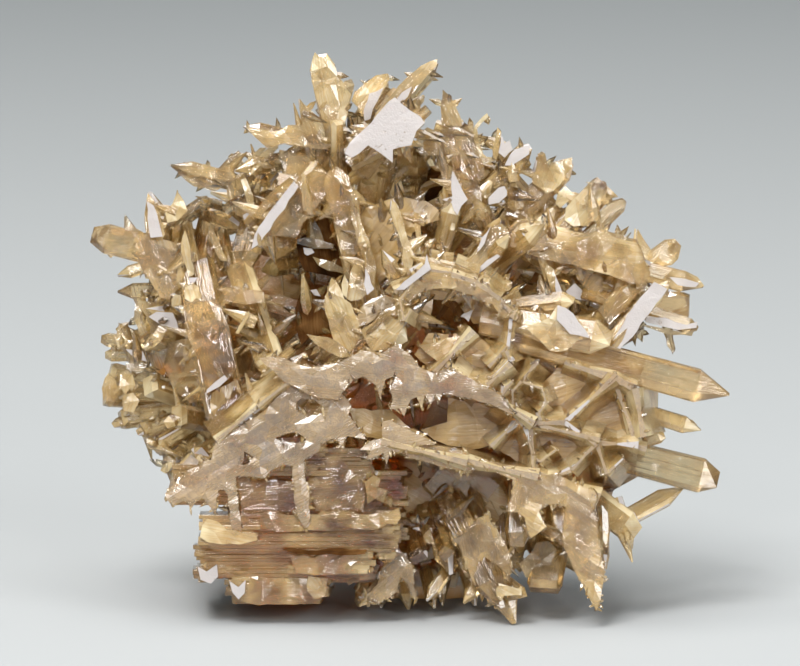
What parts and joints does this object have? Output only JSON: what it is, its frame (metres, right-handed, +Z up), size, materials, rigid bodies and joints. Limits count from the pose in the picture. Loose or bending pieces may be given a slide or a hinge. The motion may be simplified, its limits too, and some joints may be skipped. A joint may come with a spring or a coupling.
{
  "type": "cerussite crystal cluster",
  "caption": "Free-standing reticulated cluster of twinned, flattened golden-brown cerussite crystals that rests on a small flat face.",
  "frame": {"origin": "centre of the flat face under the cluster that it rests on", "axes": "+Z up, +X to the right as the picture's viewer sees it, +Y away from the viewer; the picture looks along +Y and slightly down"},
  "size_m": [0.0631, 0.0383, 0.0543],
  "materials": {
    "cerussite_crystal": "translucent golden-brown crystal with a bright adamantine gloss and dull lilac-grey edge faces"
  },
  "bodies": {
    "root": {"cerussite": "cerussite_crystal"}
  },
  "joints": []
}
